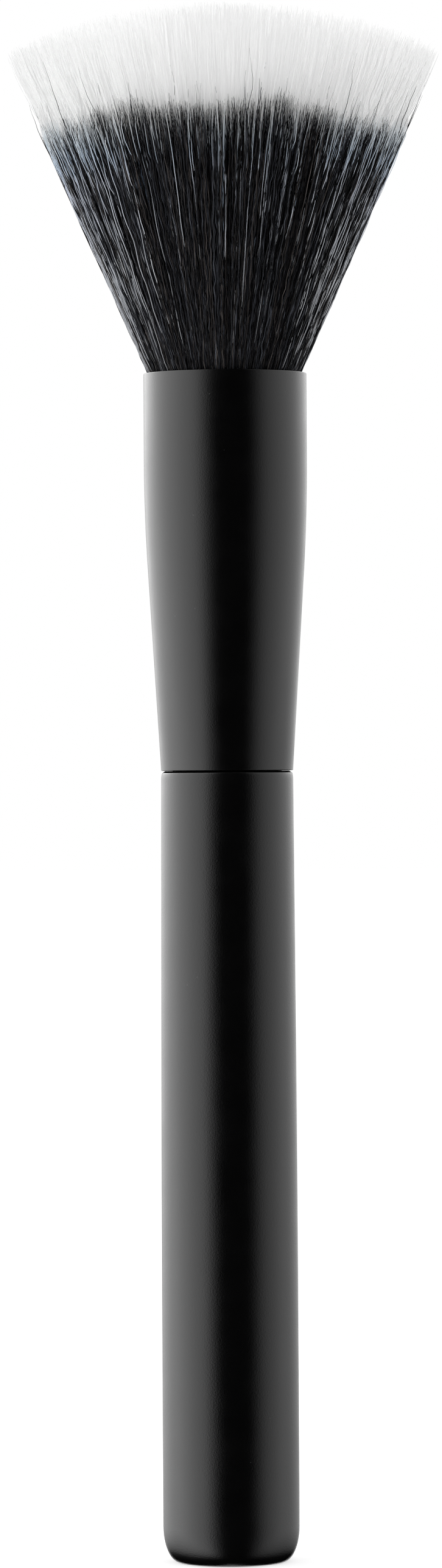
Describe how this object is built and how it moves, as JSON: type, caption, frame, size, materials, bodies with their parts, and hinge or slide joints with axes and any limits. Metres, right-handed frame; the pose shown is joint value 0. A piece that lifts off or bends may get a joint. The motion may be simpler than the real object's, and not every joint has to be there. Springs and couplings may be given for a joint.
{
  "type": "makeup brush",
  "caption": "Stippling makeup brush, upright on its tail: flared tuft of short black and longer white fibres, tapered black ferrule and round black handle.",
  "frame": {"origin": "centre of the handle's flat tail face, on which the brush stands", "axes": "+Z along the brush's axis, from the tail to the tuft; X and Y across it, alike because the brush is round"},
  "size_m": [0.0444, 0.0444, 0.1649],
  "materials": {
    "handle_lacquer": "satin",
    "ferrule_coating": "satin",
    "handle_glue": "gloss",
    "root_resin": "gloss",
    "cotton_thread": "matte",
    "black_fibre": "satin",
    "white_fibre": "satin"
  },
  "bodies": {
    "root": {"handle": "handle_lacquer", "ferrule": "ferrule_coating", "handle_glue": "handle_glue", "root_plug": "root_resin", "binding_thread": "cotton_thread", "black_fibres_core": "black_fibre", "black_fibres_inner": "black_fibre", "black_fibres_middle": "black_fibre", "black_fibres_outer": "black_fibre", "white_fibres_core": "white_fibre", "white_fibres_inner": "white_fibre", "white_fibres_middle": "white_fibre", "white_fibres_outer": "white_fibre"}
  },
  "joints": []
}
